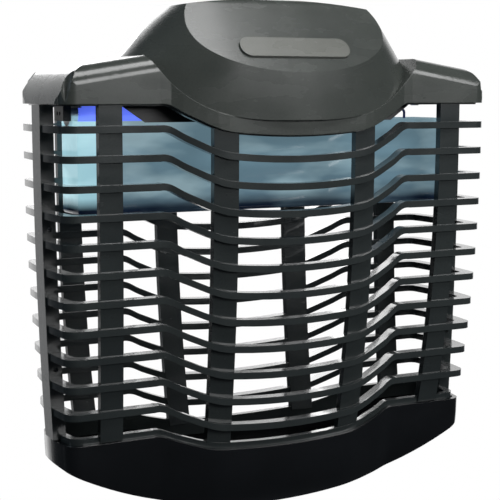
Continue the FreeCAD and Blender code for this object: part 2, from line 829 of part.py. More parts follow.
def bail_shape():
    """Wire bail in the plane of its folded position: x across, y down the slope."""
    half = BAIL_HALF
    long = size("bail_length")
    reach = RECESS_HALF + wall - 0.3
    bend = BAIL_BEND * (1 - math.sqrt(0.5))
    small = 2.4
    tight = small * (1 - math.sqrt(0.5))
    edges = [line(V(0, long, 0), V(half - BAIL_BEND, long, 0)),
             arc(V(half - BAIL_BEND, long, 0), V(half - bend, long - bend, 0), V(half, long - BAIL_BEND, 0)),
             line(V(half, long - BAIL_BEND, 0), V(half, small, 0)),
             arc(V(half, small, 0), V(half + tight, tight, 0), V(half + small, 0, 0)),
             line(V(half + small, 0, 0), V(reach, 0, 0))]
    path = Part.Wire(edges)
    ring = Part.Wire([Part.makeCircle(WIRE, V(0, long, 0), ALONG_X)])
    side = path.makePipeShell([ring], True, False)
    return side.fuse(side.mirror(V(0, 0, 0), ALONG_X)).removeSplitter()


shape_node("hanger_bail", bail_shape(), fold)

# Cable gland in the rear of the hood.
gland_radius = size("gland_radius")
FLANGE = 2
GLAND_INSIDE = 6
gland = rod(0, -GLAND_INSIDE, 0, gland_radius, GLAND_INSIDE + 0.5, ALONG_Y)
gland = gland.fuse(rod(0, 0, 0, gland_radius + FLANGE, FLANGE, ALONG_Y))
gland = gland.cut(rod(0, -GLAND_INSIDE - 1, 0, size("gland_bore_radius"), FAR, ALONG_Y))
shape_node("cord_gland", gland, at(size("gland_x"), half_depth, size("gland_z")))

# ---------------------------------------------------------------- collection tray
TRAY_LEVELS = ((rim_top + 1, 0, 0), (rim_top - 24, 1.6, 0.6), (rim_top - 42, 8, 4), (rim_top - 58, 26, 13))


def tray_solid(inset, above):
    wires = []
    for z, narrow, thin in TRAY_LEVELS:
        wires.append(plan_wire(rim_wide - narrow - inset, rim_deep - thin - inset,
                               corner - inset / 2, z + (above if z > rim_top else 0),
                               size("bow_depth") - thin / 3))
    body = Part.makeLoft(wires, True, False)
    radius = size("tray_floor_radius")
    hull = rod(0, -FAR / 2, radius - top, radius - inset, FAR, ALONG_Y)
    return body.common(hull)


tray_outer = tray_solid(0, 0).common(dipped_slab(-top - 10, rim_top, 0, size("rim_dip")))
tray = tray_outer.cut(tray_solid(size("tray_wall"), 2))
shape_node("collection_tray", tray)

# ---------------------------------------------------------------- lamp bay
shroud = new_body("lamp_shroud")
shroud_outline = new_sketch(shroud, "XY", "shroud_outline")
centred_rectangle(shroud_outline, "dims.shroud_length", "dims.shroud_depth")
shroud_pad = pad(shroud, shroud_outline, "dims.shroud_top - dims.shroud_bottom", "shroud_pad")
doc.recompute()


def edges_where(feature, test):
    return ["Edge%d" % (i + 1) for i, edge in enumerate(feature.Shape.Edges) if test(edge.BoundBox)]


shroud_corners = shroud.newObject("PartDesign::Fillet", "shroud_corners")
shroud_corners.Base = (shroud_pad, edges_where(shroud_pad, lambda b: b.ZLength > 10))
bind(shroud_corners, "Radius", "dims.shroud_corner")
doc.recompute()
shroud_curl = shroud.newObject("PartDesign::Fillet", "shroud_curl")
shroud_curl.Base = (shroud_corners, edges_where(shroud_corners, lambda b: b.ZMax < 0.1))
bind(shroud_curl, "Radius", "dims.shroud_corner - 0.5")
doc.recompute()
lid = ["Face%d" % (i + 1) for i, face in enumerate(shroud_curl.Shape.Faces)
       if face.BoundBox.ZMin > size("shroud_top") - size("shroud_bottom") - 0.1]
shroud_hollow = shroud.newObject("PartDesign::Thickness", "shroud_hollow")
shroud_hollow.Base = (shroud_curl, lid)
bind(shroud_hollow, "Value", "dims.shroud_wall")
shroud_hollow.Reversed = True
shroud_mouth = new_sketch(shroud, "XY", "shroud_mouth")
centred_rectangle(shroud_mouth, "dims.shroud_length - 2 * dims.shroud_lip - 2",
                  "dims.shroud_depth - 2 * dims.shroud_lip")
pocket_all(shroud, shroud_mouth, "shroud_mouth_pocket", upwards=True)

# The lamp reaches past the left end wall, so that wall has a round notch for it.
lamp_notch = new_sketch(shroud, "YZ", "lamp_notch")
circle(lamp_notch, 0, size("lamp_height") - size("shroud_bottom"), "dims.lamp_glass_radius + dims.notch_gap")
pocket_all(shroud, lamp_notch, "lamp_notch_pocket")
node(shroud, "lamp_shroud", at(0, 0, size("shroud_bottom")))

lamp_left = size("lamp_left_end")
lamp_cap = size("lamp_cap_length")
lamp_long = size("lamp_glass_length") + 2 * lamp_cap
lamp_right = lamp_left + lamp_long
lamp_z = size("lamp_height")
to_x = FreeCAD.Rotation(ALONG_Y, 90)
tube = cylinder("uv_tube", "dims.lamp_glass_radius", "dims.lamp_glass_length",
                FreeCAD.Placement(V(lamp_left + lamp_cap, 0, lamp_z), to_x))
node(tube, "uv_tube", tube.Placement)
compound("lamp_caps", [
    cylinder("lamp_cap_%d" % i, "dims.lamp_glass_radius + 0.1", "dims.lamp_cap_length",
             FreeCAD.Placement(V(x, 0, lamp_z), to_x))
    for i, x in enumerate((lamp_left, lamp_right - lamp_cap))])
pin_reach = size("lamp_pin_length")
pin_shift = size("lamp_pin_spacing") / 2
compound("lamp_pins", [
    cylinder("lamp_pin_%d_%d" % (i, j), "dims.lamp_pin_radius", "dims.lamp_pin_length",
             FreeCAD.Placement(V(x, y, lamp_z), to_x))
    for i, x in enumerate((lamp_left - pin_reach, lamp_right))
    for j, y in enumerate((-pin_shift, pin_shift))])


holder_z = (size("shroud_top") + size("deck_underside")) / 2


def lamp_holder(label, x):
    """Upright holder block with two pin holes, drawn in the YZ plane."""
    body = new_body(label)
    outline = new_sketch(body, "YZ", label + "_outline")
    centred_rectangle(outline, "dims.holder_width", "dims.holder_height")
    pad(body, outline, "dims.holder_thickness", label + "_pad")
    holes = new_sketch(body, "YZ", label + "_holes")
    for y in (-pin_shift, pin_shift):
        circle(holes, y, lamp_z - holder_z, "dims.lamp_pin_radius + dims.pin_clearance")
    pocket_all(body, holes, label + "_pocket", upwards=True)
    return node(body, label, at(x, 0, holder_z))


lamp_holder("lamp_holder_left", lamp_left - size("holder_thickness"))
lamp_holder("lamp_holder_right", lamp_right)

# ---------------------------------------------------------------- killing grid
tiers = [size("grid_low_height") + size("grid_tier_step") * i for i in range(2)]
spacing = size("grid_rod_spacing")
grid_end = size("grid_end_x")
bus_x = grid_end + 3.2
shroud_inner = size("shroud_depth") / 2 - size("shroud_wall")


def grid(label, rows, side):
    """Rods along X in two tiers, joined by an upright bus plate at one end."""
    half = max(abs(y) for y in rows) + 2
    plate_part = box(label + "_bus", "dims.bus_thickness", str(2 * half), "dims.grid_tier_step + 4",
                     at(side * bus_x - size("bus_thickness") / 2, -half, tiers[0] - 2))
    start = -bus_x if side < 0 else -grid_end
    rods = [cylinder("%s_rod_%d_%d" % (label, i, j), "dims.grid_rod_radius", str(bus_x + grid_end),
                     FreeCAD.Placement(V(start, y, z), to_x))
            for i, z in enumerate(tiers) for j, y in enumerate(rows)]
    return node(fuse(label, [plate_part] + rods), label)


live_rows = (-spacing, spacing)
ground_rows = (-2 * spacing, 0, 2 * spacing)
grid("live_grid", live_rows, -1)
grid("ground_grid", ground_rows, 1)

insulator_x = grid_end - 1.5 - size("insulator_thickness") / 2
insulators = []
for side in (-1, 1):
    made = block(-size("insulator_thickness") / 2, size("insulator_thickness") / 2,
                 -shroud_inner + 0.2, shroud_inner - 0.2,
                 tiers[0] - 6, tiers[0] - 6 + size("insulator_height"))
    made.translate(V(side * insulator_x, 0, 0))
    insulators.append(made)
holes = [rod(-FAR, y, z, size("grid_rod_radius") + 0.05, 2 * FAR, ALONG_X)
         for z in tiers for y in live_rows + ground_rows]
INSULATOR_SCREW_HEIGHT = tiers[0] + size("grid_tier_step") / 2
STRAP_X = 74
STRAP_SCREW_HEIGHT = 74
shroud_screw_spots = [(side * x, z) for side in (-1, 1)
                      for x, z in ((insulator_x, INSULATOR_SCREW_HEIGHT), (STRAP_X, STRAP_SCREW_HEIGHT))]
PILOT = size("small_screw_radius")
pilots = [rod(x, 0, z, PILOT, FAR, ALONG_Y) for x, z in shroud_screw_spots]
shroud_pilots = new_sketch(shroud, "XZ", "shroud_pilots")
for x, z in shroud_screw_spots:
    circle(shroud_pilots, x, z - size("shroud_bottom"), "dims.small_screw_radius")
pocket_all(shroud, shroud_pilots, "shroud_pilot_pocket")
insulated = Part.makeCompound(insulators).cut(Part.makeCompound(holes)).cut(Part.makeCompound(pilots))
shape_node("grid_insulators", insulated)


def small_screw(x, y, z, towards):
    head = Part.makeCylinder(size("small_head_radius"), size("small_head_height"),
                             V(x, y, z) - towards * size("small_head_height"), towards)
    shank = Part.makeCylinder(size("small_screw_radius") - 0.05, size("small_screw_length"),
                              V(x, y, z), towards)
    return head.fuse(shank)


shroud_half = size("shroud_depth") / 2
shape_node("shroud_screws", Part.makeCompound(
    [small_screw(x, shroud_half, z, -ALONG_Y) for x, z in shroud_screw_spots]))

# ---------------------------------------------------------------- folded deck above the lamp
deck_low = size("deck_underside")
LEAD_HOLE = "dims.lead_radius + dims.lead_clearance"
left_lead_x = lamp_left - size("holder_thickness") / 2
right_lead_x = lamp_right + size("holder_thickness") / 2
GRID_LEAD_X = 110
GRID_LEAD_Y = 12
deck_plate = new_body("deck_plate")
deck_outline = new_sketch(deck_plate, "XY", "deck_outline")
centred_rectangle(deck_outline, "dims.deck_length", "dims.deck_depth")
pad(deck_plate, deck_outline, "dims.deck_thickness", "deck_pad")
deck_holes = new_sketch(deck_plate, "XY", "deck_holes")
for x, y in DECK_SCREWS:
    circle(deck_holes, x, y, "dims.screw_radius + 0.1")
for x, y in tab_places:
    circle(deck_holes, x, y, "dims.boss_radius + 0.4")
for x, y in ((left_lead_x, 0), (right_lead_x, 0), (-GRID_LEAD_X, GRID_LEAD_Y), (GRID_LEAD_X, GRID_LEAD_Y)):
    circle(deck_holes, x, y, LEAD_HOLE)
pocket_all(deck_plate, deck_holes, "deck_drilling", upwards=True)
deck_plate.Placement = at(0, 0, deck_low)

# Aprons shade the lamp from the front and the back; straps carry the shroud.
APRON_Y = 28
APRON_LOW = size("shroud_top") - 0.8
apron_corners = [(-118, deck_low), (106, deck_low), (84, APRON_LOW), (-94.7, APRON_LOW)]
apron_thickness = size("apron_thickness")
bends = []
for side in (-1, 1):
    near = side * APRON_Y - apron_thickness / 2
    points = [V(x, near, z) for x, z in apron_corners]
    apron = Part.Face(Part.makePolygon(points + [points[0]])).extrude(V(0, apron_thickness, 0))
    bends.append(apron)
    for x in (-STRAP_X, STRAP_X):
        outer = shroud_inner - 0.1
        inner = outer - size("strap_thickness")
        strap = block(x - size("strap_width") / 2, x + size("strap_width") / 2,
                      min(side * outer, side * inner), max(side * outer, side * inner),
                      STRAP_SCREW_HEIGHT - size("strap_width") / 2, deck_low)
        bends.append(strap.cut(rod(x, 0, STRAP_SCREW_HEIGHT, PILOT, FAR, ALONG_Y)))
bend_part = doc.addObject("Part::Feature", "deck_bends")
bend_part.Shape = Part.makeCompound(bends)
node(fuse("bay_deck", [deck_plate, bend_part]), "bay_deck")

plate("lamp_reflector", "dims.lamp_glass_length - 6", "dims.holder_width", "dims.reflector_thickness", [],
      at((lamp_left + lamp_right) / 2, 0, deck_low - size("reflector_thickness")))
shape_node("deck_screws", Part.makeCompound([screw(x, y, deck_low, ALONG_Z) for x, y in DECK_SCREWS]))

# ---------------------------------------------------------------- electrics on the deck


def wound_core(name, centre_x, centre_y):
    """Laminated core with two windows and a coil round its middle leg: two nodes."""
    long = size(name + "_length")
    deep = size(name + "_depth")
    high = size(name + "_height")
    yoke = long * 0.15
    window = long * 0.2
    leg = long - 2 * yoke - 2 * window
    core_deep = deep * 0.55
    frame_block = box(name + "_block", "dims.%s_length" % name, "dims.%s_depth * 0.55" % name,
                      "dims.%s_height" % name, at(centre_x - long / 2, centre_y - core_deep / 2, deck_top))
    openings = [box("%s_window_%d" % (name, i), str(window), str(core_deep + 2), str(high - 2 * yoke),
                    at(centre_x + x, centre_y - core_deep / 2 - 1, deck_top + yoke))
                for i, x in enumerate((-leg / 2 - window, leg / 2))]
    core = cut(name + "_core", frame_block, fuse(name + "_windows", openings))
    node(core, name + "_core")
    clear = 0.4
    winding = box(name + "_winding", str(leg + 2 * window - 2 * clear), "dims.%s_depth" % name,
                  str(high - 2 * yoke - 2 * clear),
                  at(centre_x - leg / 2 - window + clear, centre_y - deep / 2, deck_top + yoke + clear))
    bore = box(name + "_bore", str(leg + clear), str(core_deep + clear), str(high),
               at(centre_x - leg / 2 - clear / 2, centre_y - core_deep / 2 - clear / 2, deck_top))
    node(cut(name + "_coil", winding, bore), name + "_coil")


wound_core("transformer", -58, 12.5)
wound_core("choke", 58, 11.5)

BOARD_Y = -20
BOARD_HOLE_X = size("board_length") / 2 - 6
BOARD_HOLE_Y = size("board_depth") / 2 - 4
board_low = deck_top + size("standoff_height")
board_top = board_low + size("board_thickness")
board_corners = [(x, y) for x in (-BOARD_HOLE_X, BOARD_HOLE_X) for y in (-BOARD_HOLE_Y, BOARD_HOLE_Y)]
plate("circuit_board", "dims.board_length", "dims.board_depth", "dims.board_thickness",
      [(x, y, "dims.board_hole_radius") for x, y in board_corners], at(0, BOARD_Y, board_low))
standoffs = []
for x, y in board_corners:
    post = rod(x, y + BOARD_Y, deck_top, size("standoff_radius"), size("standoff_height"), ALONG_Z)
    standoffs.append(post.cut(rod(x, y + BOARD_Y, deck_top, size("small_screw_radius"), FAR, ALONG_Z)))
shape_node("board_standoffs", Part.makeCompound(standoffs))
shape_node("board_screws", Part.makeCompound(
    [small_screw(x, y + BOARD_Y, board_top, -ALONG_Z) for x, y in board_corners]))

compound("capacitors", [
    cylinder("capacitor_%d" % i, "dims.capacitor_radius", "dims.capacitor_height",
             at(-30 + 12 * i, BOARD_Y - 5, board_top)) for i in range(4)])
compound("diodes", [
    cylinder("diode_%d" % i, "dims.diode_radius", "dims.diode_length",
             FreeCAD.Placement(V(-33 + 12 * i, BOARD_Y + 6, board_top + size("diode_radius")), to_x))
    for i in range(4)])
to_y = FreeCAD.Rotation(ALONG_X, -90)
compound("resistors", [
    cylinder("resistor_%d" % i, "dims.resistor_radius", "dims.resistor_length",
             FreeCAD.Placement(V(18 + 7 * i, BOARD_Y - 2, board_top + size("resistor_radius")), to_y))
    for i in range(3)])
fuse_part = cylinder("fuse", "dims.fuse_radius", "dims.fuse_length",
                     FreeCAD.Placement(V(14, BOARD_Y - 9, board_top + size("fuse_radius")), to_x))
node(fuse_part, "fuse", fuse_part.Placement)

STARTER_X = -72
STARTER_BACK = -3.9
starter = cylinder("starter", "dims.starter_radius", "dims.starter_length",
                   FreeCAD.Placement(V(STARTER_X, STARTER_BACK - size("starter_length"),
                                       deck_top + size("starter_radius") + size("starter_lift")), to_y))
node(starter, "starter", starter.Placement)
socket = box("starter_socket", "2 * dims.starter_radius", "dims.socket_depth",
             "2 * dims.starter_radius + dims.starter_lift",
             at(STARTER_X - size("starter_radius"), STARTER_BACK, deck_top))
node(socket, "starter_socket", socket.Placement)
TERMINAL_X = 92
TERMINAL_Y = -8
terminal = box("terminal_block", "dims.terminal_length", "dims.terminal_depth", "dims.terminal_height",
               at(TERMINAL_X, TERMINAL_Y, deck_top))
node(terminal, "terminal_block", terminal.Placement)


LEAD_BEND = 2.5


def lead(spots):
    """Insulated lead: a round wire swept along straight runs joined by arcs."""
    points = [V(*spot) for spot in spots]
    edges = []
    start = points[0]
    for before, here, after in zip(points, points[1:], points[2:]):
        back = (before - here).normalize()
        ahead = (after - here).normalize()
        half = back.getAngle(ahead) / 2
        middle = (back + ahead).normalize()
        run = LEAD_BEND / math.tan(half)
        centre = here + middle * (LEAD_BEND / math.sin(half))
        edges.append(line(start, here + back * run))
        edges.append(arc(here + back * run, centre - middle * LEAD_BEND, here + ahead * run))
        start = here + ahead * run
    edges.append(line(start, points[-1]))
    ring = Part.Wire([Part.makeCircle(size("lead_radius"), points[0], points[1] - points[0])])
    return Part.Wire(edges).makePipeShell([ring], True, False)


shape_node("lamp_leads", Part.makeCompound([
    lead([(left_lead_x, 0, deck_low + 0.1), (left_lead_x, 0, 107.5), (-108, 0, 107.5), (-96, -2.4, 112),
          (STARTER_X - size("starter_radius") - 0.1, -2.4, 112)]),
    lead([(right_lead_x, 0, deck_low + 0.1), (right_lead_x, 0, 111), (91.9, 0, 111)])]))
shape_node("grid_leads", Part.makeCompound([
    lead([(-bus_x, spacing, tiers[1] + 2.1), (-bus_x, spacing, 72), (-bus_x, GRID_LEAD_Y, 80),
          (-bus_x, GRID_LEAD_Y, 94), (-GRID_LEAD_X, GRID_LEAD_Y, 100), (-GRID_LEAD_X, GRID_LEAD_Y, 112),
          (-78.1, GRID_LEAD_Y, 112)]),
    lead([(bus_x, 2 * spacing, tiers[1] + 2.1), (bus_x, 2 * spacing, 94), (GRID_LEAD_X, GRID_LEAD_Y, 100),
          (GRID_LEAD_X, GRID_LEAD_Y, 111), (106.1, GRID_LEAD_Y, 111)])]))
shape_node("supply_leads", Part.makeCompound([
    lead([(106.1, y, z), (112, y, z), (size("gland_x"), half_depth - 16, z),
          (size("gland_x"), half_depth - 7, z)])
    for y, z in ((0, 113.6), (5, 116))]))

# ---------------------------------------------------------------- export
# Every part moves down together so that the bail's axis on the ridge is the frame origin.
hang = FreeCAD.Placement(-pivot, FreeCAD.Rotation())
for thing in nodes:
    thing.Placement = hang.multiply(thing.Placement)
doc.recompute()
for thing in doc.Objects:
    if "Invalid" in thing.State or "Error" in thing.State:
        raise RuntimeError("%s: %s" % (thing.Label, thing.State))
for thing in nodes:
    shape = thing.Shape
    if shape.isNull() or not shape.isValid():
        raise RuntimeError("%s has no valid shape" % thing.Label)
    shape.exportStep("parts/%s.step" % thing.Label)
    print(thing.Label, len(shape.Solids), round(shape.Volume))
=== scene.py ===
import math

import bpy
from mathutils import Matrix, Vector


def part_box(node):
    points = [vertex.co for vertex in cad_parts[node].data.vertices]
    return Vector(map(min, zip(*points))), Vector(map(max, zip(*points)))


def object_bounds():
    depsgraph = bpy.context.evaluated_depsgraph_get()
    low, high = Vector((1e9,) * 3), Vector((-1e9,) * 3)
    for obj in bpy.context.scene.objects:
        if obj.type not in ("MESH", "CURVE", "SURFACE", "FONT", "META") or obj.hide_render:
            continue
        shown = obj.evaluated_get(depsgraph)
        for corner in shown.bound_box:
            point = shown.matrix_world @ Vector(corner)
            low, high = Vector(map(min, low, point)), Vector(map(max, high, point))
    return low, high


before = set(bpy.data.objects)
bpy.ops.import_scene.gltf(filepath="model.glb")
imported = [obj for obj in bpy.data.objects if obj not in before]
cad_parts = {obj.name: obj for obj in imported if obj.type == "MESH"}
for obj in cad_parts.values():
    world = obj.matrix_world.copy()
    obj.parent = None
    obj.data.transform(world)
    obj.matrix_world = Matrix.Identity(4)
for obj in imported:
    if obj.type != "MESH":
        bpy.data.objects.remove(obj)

CAD_LOW, CAD_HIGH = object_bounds()
MM = 0.001
NOISE_RANGE = (0.3, 0.7)  # nearly all of a noise texture's values lie between these


# ---------------------------------------------------------------- shader helpers

class Finish:
    """One procedural material: a Principled shader, with short calls for the detail that feeds it."""

    def __init__(self, name, colour, roughness, metallic=0.0):
        self.material = bpy.data.materials.new(name)
        self.material.use_nodes = True
        self.tree = self.material.node_tree
        self.tree.nodes.clear()
        self.output = self.add("ShaderNodeOutputMaterial")
        self.shader = self.add("ShaderNodeBsdfPrincipled")
        self.tree.links.new(self.shader.outputs["BSDF"], self.output.inputs["Surface"])
        self.plain("Base Color", (*colour, 1.0))
        self.plain("Roughness", roughness)
        self.plain("Metallic", metallic)
        coordinates = self.add("ShaderNodeTexCoord")
        self.place = coordinates.outputs["Object"]
        self.normal = None

    def add(self, kind, **settings):
        node = self.tree.nodes.new(kind)
        for key, value in settings.items():
            setattr(node, key, value)
        return node

    def link(self, output, node, name):
        self.tree.links.new(output, node.inputs[name])

    def plain(self, name, value):
        """A value that is the same all over the surface."""
        self.shader.inputs[name].default_value = value

    def feed(self, name, output):
        """A value that varies over the surface."""
        self.link(output, self.shader, name)

    def stretched(self, scale):
        """The surface's own coordinates, stretched by a scale for each axis."""
        mapping = self.add("ShaderNodeMapping")
        self.link(self.place, mapping, "Vector")
        mapping.inputs["Scale"].default_value = scale
        return mapping.outputs["Vector"]

    def noise(self, size, detail=3.0, scale=(1, 1, 1), roughness=0.5):
        """Cloudy noise whose lumps are about size metres across."""
        node = self.add("ShaderNodeTexNoise")
        self.link(self.stretched(scale), node, "Vector")
        node.inputs["Scale"].default_value = 1 / size
        node.inputs["Detail"].default_value = detail
        node.inputs["Roughness"].default_value = roughness
        return node.outputs["Fac"]

    def cells(self, size):
        """Distance from the middle of cells that are about size metres across."""
        node = self.add("ShaderNodeTexVoronoi")
        self.link(self.stretched((1, 1, 1)), node, "Vector")
        node.inputs["Scale"].default_value = 1 / size
        return node.outputs["Distance"]

    def bands(self, period, axis, distortion=0.0, profile="SIN"):
        """Even stripes across one axis, one every period metres."""
        node = self.add("ShaderNodeTexWave", wave_type="BANDS", bands_direction=axis, wave_profile=profile)
        self.link(self.place, node, "Vector")
        node.inputs["Scale"].default_value = math.pi / 10 / period
        node.inputs["Distortion"].default_value = distortion
        node.inputs["Detail"].default_value = 2.0
        return node.outputs["Fac"]

    def along(self, axis, low, high):
        """0 at low to 1 at high, in metres along an axis of the object's frame."""
        split = self.add("ShaderNodeSeparateXYZ")
        self.link(self.place, split, "Vector")
        spread = self.add("ShaderNodeMapRange")
        self.link(split.outputs[axis], spread, "Value")
        spread.inputs["From Min"].default_value = low
        spread.inputs["From Max"].default_value = high
        return spread.outputs["Result"]

    def spread(self, factor, low, high, start=0.0, end=1.0):
        """Maps a factor between start and end to values between low and high."""
        node = self.add("ShaderNodeMapRange")
        self.link(factor, node, "Value")
        node.inputs["From Min"].default_value = start
        node.inputs["From Max"].default_value = end
        node.inputs["To Min"].default_value = low
        node.inputs["To Max"].default_value = high
        return node.outputs["Result"]

    def ramp(self, factor, stops):
        """Colours along a factor: stops is a list of (place, colour)."""
        node = self.add("ShaderNodeValToRGB")
        self.link(factor, node, "Fac")
        ramp = node.color_ramp
        ramp.interpolation = "LINEAR"
        while len(ramp.elements) < len(stops):
            ramp.elements.new(0.5)
        for element, (place, colour) in zip(ramp.elements, stops):
            element.position = place
            element.color = (*colour, 1.0)
        return node.outputs["Color"]

    def blend(self, factor, first, second, mode="MIX"):
        """Two colours mixed by a factor. Either may be a colour or another node's output."""
        node = self.add("ShaderNodeMix", data_type="RGBA", blend_type=mode)
        sockets = {"Factor": factor, "A": first, "B": second}
        for socket in node.inputs:
            if socket.enabled and socket.name in sockets:
                value = sockets[socket.name]
                if isinstance(value, bpy.types.NodeSocket):
                    self.tree.links.new(value, socket)
                else:
                    socket.default_value = value if socket.name == "Factor" else (*value, 1.0)
        return next(s for s in node.outputs if s.enabled)

    def bump(self, height, depth, strength=1.0):
        """Adds relief depth metres high to the surface's normal."""
        node = self.add("ShaderNodeBump")
        self.link(height, node, "Height")
        node.inputs["Distance"].default_value = depth
        node.inputs["Strength"].default_value = strength
        if self.normal is not None:
            self.link(self.normal, node, "Normal")
        self.normal = node.outputs["Normal"]
        self.feed("Normal", self.normal)

    def soft_edges(self, radius):
        """Lets light run round sharp edges as it does on a moulded part. It comes before any bump."""
        node = self.add("ShaderNodeBevel", samples=4)
        node.inputs["Radius"].default_value = radius
        self.normal = node.outputs["Normal"]
        self.feed("Normal", self.normal)


# ---------------------------------------------------------------- finishes

def moulded(name, colour, lighter, grain, roughness, edge, depth=0.00004):
    """Spark-eroded moulded plastic: fine grain, cloudy gloss and slow colour drift."""
    finish = Finish(name, colour, roughness)
    finish.soft_edges(edge)
    drift = finish.noise(0.05, detail=4)
    speckle = finish.noise(grain * 2, detail=2)
    cloudy = finish.blend(finish.spread(drift, 0, 1, 0.35, 0.65), colour, lighter)
    darker = tuple(c * 0.86 for c in colour)
    finish.feed("Base Color", finish.blend(finish.spread(speckle, 0, 0.5, 0.45, 0.75), cloudy, darker))
    smears = finish.noise(0.03, detail=5, scale=(1, 1, 2.5))
    finish.feed("Roughness", finish.spread(smears, roughness - 0.05, roughness + 0.06, *NOISE_RANGE))
    finish.bump(finish.noise(grain, detail=2), depth)
    return finish


def hood_plastic():
    """Warm grey moulded plastic, satin with a thin glossy skin."""
    finish = moulded("hood_plastic", (0.052, 0.059, 0.054), (0.068, 0.076, 0.069),
                     grain=0.7 * MM, roughness=0.26, edge=0.7 * MM, depth=0.012 * MM)
    finish.plain("Coat Weight", 0.5)
    finish.plain("Coat Roughness", 0.12)
    return finish.material


def guard_plastic():
    """Moulded plastic with a polished skin that brightens at a grazing angle."""
    finish = moulded("guard_plastic", (0.028, 0.034, 0.035), (0.037, 0.044, 0.044),
                     grain=0.6 * MM, roughness=0.22, edge=0.3 * MM, depth=0.006 * MM)
    finish.plain("Coat Weight", 0.7)
    finish.plain("Coat Roughness", 0.06)
    return finish.material


def tray_plastic():
    """Polished black plastic with hairline scuffs."""
    finish = moulded("tray_plastic", (0.006, 0.0066, 0.0078), (0.009, 0.010, 0.012),
                     grain=0.9 * MM, roughness=0.18, edge=0.5 * MM, depth=0.008 * MM)
    scuffs = finish.noise(4 * MM, detail=6, scale=(1, 1, 9), roughness=0.7)
    finish.bump(scuffs, 0.000015, 0.6)
    finish.plain("Coat Weight", 0.5)
    finish.plain("Coat Roughness", 0.06)
    return finish.material


def badge_plastic():
    """A paler satin plastic than the hood that the plate sits on."""
    finish = moulded("badge_plastic", (0.16, 0.165, 0.15), (0.19, 0.195, 0.18),
                     grain=0.5 * MM, roughness=0.30, edge=0.4 * MM, depth=0.01 * MM)
    return finish.material


def shroud_plastic():
    """Smoke-blue plastic with a painted glow in it, a painted reflection at its pale left end and painted
    shade at its dark lower edge.
    """
    low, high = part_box("lamp_shroud")
    finish = Finish("shroud_plastic", (0.10, 0.18, 0.25), 0.12)
    finish.soft_edges(0.5 * MM)
    height = finish.along("Z", low.z, high.z)
    # Painted shade: the smoke blue darkens towards the bottom, to near black at the lower edge that curls
    # inward.
    tint_and_lip_shade = finish.ramp(height, [
        (0.0, (0.004, 0.009, 0.022)), (0.05, (0.010, 0.022, 0.045)), (0.12, (0.085, 0.145, 0.185)),
        (0.55, (0.105, 0.180, 0.225)), (1.0, (0.120, 0.200, 0.245))])
    swirl = finish.noise(0.035, detail=3, scale=(0.5, 1, 1.6))
    streaks = finish.spread(swirl, 0, 0.75, 0.46, 0.66)
    length = finish.along("X", low.x, high.x)
    # Painted reflection: a pale band at the left end of the front, where a bright light is mirrored.
    painted_end_reflection = finish.ramp(length, [
        (0.0, (0.30, 0.52, 0.56)), (0.055, (0.27, 0.47, 0.52)),
        (0.085, (0.0, 0.0, 0.0)), (1.0, (0.0, 0.0, 0.0))])
    # Painted glow: the shroud is no lamp, yet it glows with its pale blue streaks plus the painted
    # reflection.
    painted_glow = finish.blend(1.0, finish.blend(streaks, tint_and_lip_shade, (0.30, 0.42, 0.46)), painted_end_reflection, "ADD")
    finish.feed("Base Color", finish.blend(streaks, tint_and_lip_shade, (0.20, 0.33, 0.40)))
    # Painted shade: the glow fades to near black across the lowest part of the shroud, at its curled lower
    # edge.
    painted_lip_shade = finish.spread(height, 0.0, 1.0, 0.06, 0.19)
    finish.feed("Emission Color", finish.blend(painted_lip_shade, (0.001, 0.003, 0.010), painted_glow))
    # How strongly the painted glow shines.
    finish.plain("Emission Strength", 0.85)
    finish.feed("Roughness", finish.spread(finish.noise(0.012, detail=5), 0.08, 0.18, *NOISE_RANGE))
    finish.plain("Coat Weight", 0.6)
    finish.plain("Coat Roughness", 0.05)
    finish.bump(finish.noise(0.018, detail=1), 0.00006)
    return finish.material


def lit_tube():
    """A fluorescent ultraviolet tube that is alight: violet blue, brighter in the middle of its length."""
    low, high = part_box("uv_tube")
    finish = Finish("lit_tube", (0.30, 0.28, 0.85), 0.12)
    length = finish.along("X", low.x, high.x)
    glow = finish.ramp(length, [
        (0.0, (0.04, 0.07, 0.40)), (0.08, (0.06, 0.10, 0.52)), (0.5, (0.08, 0.12, 0.58)),
        (0.92, (0.06, 0.10, 0.52)), (1.0, (0.04, 0.07, 0.40))])
    mottle = finish.noise(6 * MM, detail=3)
    deeper = finish.spread(mottle, 0, 0.2, 0.4, 0.7)
    finish.feed("Emission Color", finish.blend(deeper, glow, (0.05, 0.07, 0.50)))
    finish.plain("Emission Strength", 1.6)
    finish.plain("Coat Weight", 1.0)
    finish.plain("Coat Roughness", 0.03)
    return finish.material


def metal(name, colour, roughness, scratch=(1, 1, 1), scratch_size=1.5 * MM, depth=0.000008):
    """Bare or plated metal with fine marks, drawn out along any axis that has a small scratch scale."""
    finish = Finish(name, colour, roughness, 1.0)
    marks = finish.noise(scratch_size, detail=6, scale=scratch, roughness=0.7)
    finish.feed("Roughness", finish.spread(marks, roughness * 0.7, roughness * 1.4, *NOISE_RANGE))
    tarnish = finish.noise(0.012, detail=4)
    dull = tuple(c * 0.8 for c in colour)
    finish.feed("Base Color", finish.blend(finish.spread(tarnish, 0, 0.7, 0.4, 0.75), colour, dull))
    finish.bump(marks, depth)
    return finish


def black_enamel():
    """Stoved black enamel on pressed sheet: a little orange peel and faint rubbed streaks."""
    finish = Finish("black_enamel", (0.010, 0.010, 0.011), 0.35)
    rubbed = finish.noise(0.01, detail=5, scale=(0.3, 1, 1))
    wear = finish.spread(rubbed, 0, 1, 0.4, 0.75)
    finish.feed("Base Color", finish.blend(wear, (0.008, 0.008, 0.009), (0.018, 0.018, 0.020)))
    finish.feed("Roughness", finish.spread(finish.noise(4 * MM, detail=4), 0.28, 0.48, *NOISE_RANGE))
    finish.bump(finish.noise(1.2 * MM, detail=2), 0.00002)
    return finish.material


